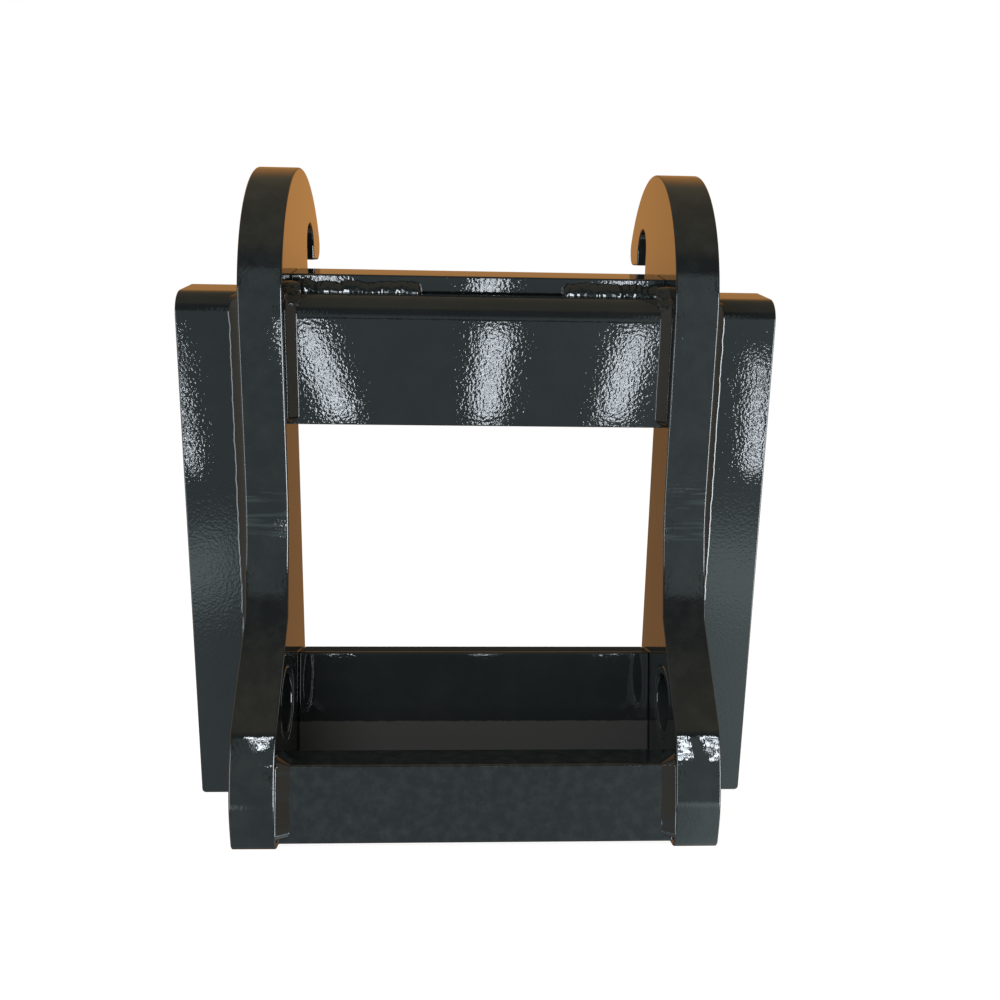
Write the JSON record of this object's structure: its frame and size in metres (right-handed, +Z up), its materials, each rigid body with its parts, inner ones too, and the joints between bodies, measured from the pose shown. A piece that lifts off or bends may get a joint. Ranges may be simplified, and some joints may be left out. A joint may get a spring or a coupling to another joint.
{
  "type": "quick coupler bracket",
  "caption": "Welded quick coupler bracket: hooked side plates, cross plate, outer wings and a bottom box with locking pin bores.",
  "frame": {"origin": "on the ground under the middle of the bracket's box", "axes": "+Z up, the attachment side faces -Y, the hooks curl towards +Y, X runs across the bracket"},
  "size_m": [0.426, 0.1898, 0.4806],
  "materials": {
    "paint": "glossy dark blue-grey enamel with orange peel",
    "weld_paint": "the same enamel over rippled weld beads",
    "bush_paint": "the same enamel over a turned bush"
  },
  "bodies": {
    "root": {"hook_plate_left": "paint", "hook_plate_right": "paint", "cross_plate": "paint", "top_bar": "paint", "wing_left": "paint", "wing_right": "paint", "box_front_plate": "paint", "box_rear_plate": "paint", "lock_bush_left": "bush_paint", "lock_bush_right": "bush_paint", "weld_wing_front_left": "weld_paint", "weld_wing_front_right": "weld_paint", "weld_wing_rear_left": "weld_paint", "weld_wing_rear_right": "weld_paint", "weld_cross_left": "weld_paint", "weld_cross_right": "weld_paint", "weld_bar_left": "weld_paint", "weld_bar_right": "weld_paint", "weld_bar_end_left": "weld_paint", "weld_bar_end_right": "weld_paint", "weld_box_front_left": "weld_paint", "weld_box_front_right": "weld_paint", "weld_box_rear_left": "weld_paint", "weld_box_rear_right": "weld_paint"}
  },
  "joints": []
}
